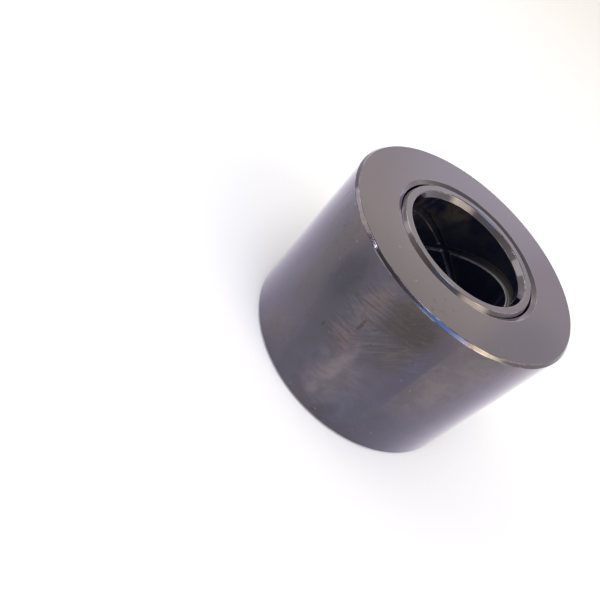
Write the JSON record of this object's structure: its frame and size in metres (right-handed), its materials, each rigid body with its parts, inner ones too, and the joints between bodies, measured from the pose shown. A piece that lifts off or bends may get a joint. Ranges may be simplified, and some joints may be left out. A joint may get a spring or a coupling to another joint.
{
  "type": "cam follower",
  "caption": "Yoke-type cam follower: a thick roller tyre turning on caged cylindrical rollers and an inner ring whose bore has crossed grease grooves.",
  "frame": {"origin": "the centre of the pin bore at mid-width", "axes": "+Z along the bore, which is the spin axis; +X and +Y lie across it, and the bore's groove crests lie 15 degrees from +X towards +Y, and opposite"},
  "size_m": [0.1, 0.1, 0.0692],
  "materials": {
    "tyre_steel": "blackened, oiled and glossy",
    "ring_steel": "blackened, oiled and glossy",
    "roller_steel": "ground and polished",
    "cage_polyamide": "moulded, slightly glossy"
  },
  "bodies": {
    "inner_ring": {"inner_ring": "ring_steel"},
    "outer_ring": {"outer_ring": "tyre_steel"},
    "upper_cage": {"upper_cage": "cage_polyamide"},
    "lower_cage": {"lower_cage": "cage_polyamide"},
    "upper_roller_01": {"upper_roller_01": "roller_steel"},
    "upper_roller_02": {"upper_roller_02": "roller_steel"},
    "upper_roller_03": {"upper_roller_03": "roller_steel"},
    "upper_roller_04": {"upper_roller_04": "roller_steel"},
    "upper_roller_05": {"upper_roller_05": "roller_steel"},
    "upper_roller_06": {"upper_roller_06": "roller_steel"},
    "upper_roller_07": {"upper_roller_07": "roller_steel"},
    "upper_roller_08": {"upper_roller_08": "roller_steel"},
    "upper_roller_09": {"upper_roller_09": "roller_steel"},
    "upper_roller_10": {"upper_roller_10": "roller_steel"},
    "upper_roller_11": {"upper_roller_11": "roller_steel"},
    "upper_roller_12": {"upper_roller_12": "roller_steel"},
    "upper_roller_13": {"upper_roller_13": "roller_steel"},
    "upper_roller_14": {"upper_roller_14": "roller_steel"},
    "upper_roller_15": {"upper_roller_15": "roller_steel"},
    "upper_roller_16": {"upper_roller_16": "roller_steel"},
    "upper_roller_17": {"upper_roller_17": "roller_steel"},
    "upper_roller_18": {"upper_roller_18": "roller_steel"},
    "lower_roller_01": {"lower_roller_01": "roller_steel"},
    "lower_roller_02": {"lower_roller_02": "roller_steel"},
    "lower_roller_03": {"lower_roller_03": "roller_steel"},
    "lower_roller_04": {"lower_roller_04": "roller_steel"},
    "lower_roller_05": {"lower_roller_05": "roller_steel"},
    "lower_roller_06": {"lower_roller_06": "roller_steel"},
    "lower_roller_07": {"lower_roller_07": "roller_steel"},
    "lower_roller_08": {"lower_roller_08": "roller_steel"},
    "lower_roller_09": {"lower_roller_09": "roller_steel"},
    "lower_roller_10": {"lower_roller_10": "roller_steel"},
    "lower_roller_11": {"lower_roller_11": "roller_steel"},
    "lower_roller_12": {"lower_roller_12": "roller_steel"},
    "lower_roller_13": {"lower_roller_13": "roller_steel"},
    "lower_roller_14": {"lower_roller_14": "roller_steel"},
    "lower_roller_15": {"lower_roller_15": "roller_steel"},
    "lower_roller_16": {"lower_roller_16": "roller_steel"},
    "lower_roller_17": {"lower_roller_17": "roller_steel"},
    "lower_roller_18": {"lower_roller_18": "roller_steel"}
  },
  "joints": [
    {"name": "outer_spin", "type": "hinge", "parent": "inner_ring", "child": "outer_ring", "pos_m": [0, 0, 0], "axis": [0, 0, 1], "continuous": true},
    {"name": "upper_cage_orbit", "type": "hinge", "parent": "inner_ring", "child": "upper_cage", "pos_m": [0, 0, 0], "axis": [0, 0, 1], "continuous": true},
    {"name": "lower_cage_orbit", "type": "hinge", "parent": "inner_ring", "child": "lower_cage", "pos_m": [0, 0, 0], "axis": [0, 0, 1], "continuous": true},
    {"name": "upper_roller_01_spin", "type": "hinge", "parent": "upper_cage", "child": "upper_roller_01", "pos_m": [0.03408, 0, 0.014], "axis": [0, 0, 1], "continuous": true},
    {"name": "upper_roller_02_spin", "type": "hinge", "parent": "upper_cage", "child": "upper_roller_02", "pos_m": [0.03202, 0.01166, 0.014], "axis": [0, 0, 1], "continuous": true},
    {"name": "upper_roller_03_spin", "type": "hinge", "parent": "upper_cage", "child": "upper_roller_03", "pos_m": [0.02611, 0.02191, 0.014], "axis": [0, 0, 1], "continuous": true},
    {"name": "upper_roller_04_spin", "type": "hinge", "parent": "upper_cage", "child": "upper_roller_04", "pos_m": [0.01704, 0.02951, 0.014], "axis": [0, 0, 1], "continuous": true},
    {"name": "upper_roller_05_spin", "type": "hinge", "parent": "upper_cage", "child": "upper_roller_05", "pos_m": [0.00592, 0.03356, 0.014], "axis": [0, 0, 1], "continuous": true},
    {"name": "upper_roller_06_spin", "type": "hinge", "parent": "upper_cage", "child": "upper_roller_06", "pos_m": [-0.00592, 0.03356, 0.014], "axis": [0, 0, 1], "continuous": true},
    {"name": "upper_roller_07_spin", "type": "hinge", "parent": "upper_cage", "child": "upper_roller_07", "pos_m": [-0.01704, 0.02951, 0.014], "axis": [0, 0, 1], "continuous": true},
    {"name": "upper_roller_08_spin", "type": "hinge", "parent": "upper_cage", "child": "upper_roller_08", "pos_m": [-0.02611, 0.02191, 0.014], "axis": [0, 0, 1], "continuous": true},
    {"name": "upper_roller_09_spin", "type": "hinge", "parent": "upper_cage", "child": "upper_roller_09", "pos_m": [-0.03202, 0.01166, 0.014], "axis": [0, 0, 1], "continuous": true},
    {"name": "upper_roller_10_spin", "type": "hinge", "parent": "upper_cage", "child": "upper_roller_10", "pos_m": [-0.03408, 0, 0.014], "axis": [0, 0, 1], "continuous": true},
    {"name": "upper_roller_11_spin", "type": "hinge", "parent": "upper_cage", "child": "upper_roller_11", "pos_m": [-0.03202, -0.01166, 0.014], "axis": [0, 0, 1], "continuous": true},
    {"name": "upper_roller_12_spin", "type": "hinge", "parent": "upper_cage", "child": "upper_roller_12", "pos_m": [-0.02611, -0.02191, 0.014], "axis": [0, 0, 1], "continuous": true},
    {"name": "upper_roller_13_spin", "type": "hinge", "parent": "upper_cage", "child": "upper_roller_13", "pos_m": [-0.01704, -0.02951, 0.014], "axis": [0, 0, 1], "continuous": true},
    {"name": "upper_roller_14_spin", "type": "hinge", "parent": "upper_cage", "child": "upper_roller_14", "pos_m": [-0.00592, -0.03356, 0.014], "axis": [0, 0, 1], "continuous": true},
    {"name": "upper_roller_15_spin", "type": "hinge", "parent": "upper_cage", "child": "upper_roller_15", "pos_m": [0.00592, -0.03356, 0.014], "axis": [0, 0, 1], "continuous": true},
    {"name": "upper_roller_16_spin", "type": "hinge", "parent": "upper_cage", "child": "upper_roller_16", "pos_m": [0.01704, -0.02951, 0.014], "axis": [0, 0, 1], "continuous": true},
    {"name": "upper_roller_17_spin", "type": "hinge", "parent": "upper_cage", "child": "upper_roller_17", "pos_m": [0.02611, -0.02191, 0.014], "axis": [0, 0, 1], "continuous": true},
    {"name": "upper_roller_18_spin", "type": "hinge", "parent": "upper_cage", "child": "upper_roller_18", "pos_m": [0.03202, -0.01166, 0.014], "axis": [0, 0, 1], "continuous": true},
    {"name": "lower_roller_01_spin", "type": "hinge", "parent": "lower_cage", "child": "lower_roller_01", "pos_m": [0.03408, 0, -0.014], "axis": [0, 0, 1], "continuous": true},
    {"name": "lower_roller_02_spin", "type": "hinge", "parent": "lower_cage", "child": "lower_roller_02", "pos_m": [0.03202, 0.01166, -0.014], "axis": [0, 0, 1], "continuous": true},
    {"name": "lower_roller_03_spin", "type": "hinge", "parent": "lower_cage", "child": "lower_roller_03", "pos_m": [0.02611, 0.02191, -0.014], "axis": [0, 0, 1], "continuous": true},
    {"name": "lower_roller_04_spin", "type": "hinge", "parent": "lower_cage", "child": "lower_roller_04", "pos_m": [0.01704, 0.02951, -0.014], "axis": [0, 0, 1], "continuous": true},
    {"name": "lower_roller_05_spin", "type": "hinge", "parent": "lower_cage", "child": "lower_roller_05", "pos_m": [0.00592, 0.03356, -0.014], "axis": [0, 0, 1], "continuous": true},
    {"name": "lower_roller_06_spin", "type": "hinge", "parent": "lower_cage", "child": "lower_roller_06", "pos_m": [-0.00592, 0.03356, -0.014], "axis": [0, 0, 1], "continuous": true},
    {"name": "lower_roller_07_spin", "type": "hinge", "parent": "lower_cage", "child": "lower_roller_07", "pos_m": [-0.01704, 0.02951, -0.014], "axis": [0, 0, 1], "continuous": true},
    {"name": "lower_roller_08_spin", "type": "hinge", "parent": "lower_cage", "child": "lower_roller_08", "pos_m": [-0.02611, 0.02191, -0.014], "axis": [0, 0, 1], "continuous": true},
    {"name": "lower_roller_09_spin", "type": "hinge", "parent": "lower_cage", "child": "lower_roller_09", "pos_m": [-0.03202, 0.01166, -0.014], "axis": [0, 0, 1], "continuous": true},
    {"name": "lower_roller_10_spin", "type": "hinge", "parent": "lower_cage", "child": "lower_roller_10", "pos_m": [-0.03408, 0, -0.014], "axis": [0, 0, 1], "continuous": true},
    {"name": "lower_roller_11_spin", "type": "hinge", "parent": "lower_cage", "child": "lower_roller_11", "pos_m": [-0.03202, -0.01166, -0.014], "axis": [0, 0, 1], "continuous": true},
    {"name": "lower_roller_12_spin", "type": "hinge", "parent": "lower_cage", "child": "lower_roller_12", "pos_m": [-0.02611, -0.02191, -0.014], "axis": [0, 0, 1], "continuous": true},
    {"name": "lower_roller_13_spin", "type": "hinge", "parent": "lower_cage", "child": "lower_roller_13", "pos_m": [-0.01704, -0.02951, -0.014], "axis": [0, 0, 1], "continuous": true},
    {"name": "lower_roller_14_spin", "type": "hinge", "parent": "lower_cage", "child": "lower_roller_14", "pos_m": [-0.00592, -0.03356, -0.014], "axis": [0, 0, 1], "continuous": true},
    {"name": "lower_roller_15_spin", "type": "hinge", "parent": "lower_cage", "child": "lower_roller_15", "pos_m": [0.00592, -0.03356, -0.014], "axis": [0, 0, 1], "continuous": true},
    {"name": "lower_roller_16_spin", "type": "hinge", "parent": "lower_cage", "child": "lower_roller_16", "pos_m": [0.01704, -0.02951, -0.014], "axis": [0, 0, 1], "continuous": true},
    {"name": "lower_roller_17_spin", "type": "hinge", "parent": "lower_cage", "child": "lower_roller_17", "pos_m": [0.02611, -0.02191, -0.014], "axis": [0, 0, 1], "continuous": true},
    {"name": "lower_roller_18_spin", "type": "hinge", "parent": "lower_cage", "child": "lower_roller_18", "pos_m": [0.03202, -0.01166, -0.014], "axis": [0, 0, 1], "continuous": true}
  ],
  "couplings": [
    {"joint": "upper_cage_orbit", "follows": "outer_spin", "ratio": 0.55986},
    {"joint": "lower_cage_orbit", "follows": "outer_spin", "ratio": 0.55986},
    {"joint": "upper_roller_01_spin", "follows": "outer_spin", "ratio": 4.1989},
    {"joint": "upper_roller_02_spin", "follows": "outer_spin", "ratio": 4.1989},
    {"joint": "upper_roller_03_spin", "follows": "outer_spin", "ratio": 4.1989},
    {"joint": "upper_roller_04_spin", "follows": "outer_spin", "ratio": 4.1989},
    {"joint": "upper_roller_05_spin", "follows": "outer_spin", "ratio": 4.1989},
    {"joint": "upper_roller_06_spin", "follows": "outer_spin", "ratio": 4.1989},
    {"joint": "upper_roller_07_spin", "follows": "outer_spin", "ratio": 4.1989},
    {"joint": "upper_roller_08_spin", "follows": "outer_spin", "ratio": 4.1989},
    {"joint": "upper_roller_09_spin", "follows": "outer_spin", "ratio": 4.1989},
    {"joint": "upper_roller_10_spin", "follows": "outer_spin", "ratio": 4.1989},
    {"joint": "upper_roller_11_spin", "follows": "outer_spin", "ratio": 4.1989},
    {"joint": "upper_roller_12_spin", "follows": "outer_spin", "ratio": 4.1989},
    {"joint": "upper_roller_13_spin", "follows": "outer_spin", "ratio": 4.1989},
    {"joint": "upper_roller_14_spin", "follows": "outer_spin", "ratio": 4.1989},
    {"joint": "upper_roller_15_spin", "follows": "outer_spin", "ratio": 4.1989},
    {"joint": "upper_roller_16_spin", "follows": "outer_spin", "ratio": 4.1989},
    {"joint": "upper_roller_17_spin", "follows": "outer_spin", "ratio": 4.1989},
    {"joint": "upper_roller_18_spin", "follows": "outer_spin", "ratio": 4.1989},
    {"joint": "lower_roller_01_spin", "follows": "outer_spin", "ratio": 4.1989},
    {"joint": "lower_roller_02_spin", "follows": "outer_spin", "ratio": 4.1989},
    {"joint": "lower_roller_03_spin", "follows": "outer_spin", "ratio": 4.1989},
    {"joint": "lower_roller_04_spin", "follows": "outer_spin", "ratio": 4.1989},
    {"joint": "lower_roller_05_spin", "follows": "outer_spin", "ratio": 4.1989},
    {"joint": "lower_roller_06_spin", "follows": "outer_spin", "ratio": 4.1989},
    {"joint": "lower_roller_07_spin", "follows": "outer_spin", "ratio": 4.1989},
    {"joint": "lower_roller_08_spin", "follows": "outer_spin", "ratio": 4.1989},
    {"joint": "lower_roller_09_spin", "follows": "outer_spin", "ratio": 4.1989},
    {"joint": "lower_roller_10_spin", "follows": "outer_spin", "ratio": 4.1989},
    {"joint": "lower_roller_11_spin", "follows": "outer_spin", "ratio": 4.1989},
    {"joint": "lower_roller_12_spin", "follows": "outer_spin", "ratio": 4.1989},
    {"joint": "lower_roller_13_spin", "follows": "outer_spin", "ratio": 4.1989},
    {"joint": "lower_roller_14_spin", "follows": "outer_spin", "ratio": 4.1989},
    {"joint": "lower_roller_15_spin", "follows": "outer_spin", "ratio": 4.1989},
    {"joint": "lower_roller_16_spin", "follows": "outer_spin", "ratio": 4.1989},
    {"joint": "lower_roller_17_spin", "follows": "outer_spin", "ratio": 4.1989},
    {"joint": "lower_roller_18_spin", "follows": "outer_spin", "ratio": 4.1989}
  ]
}
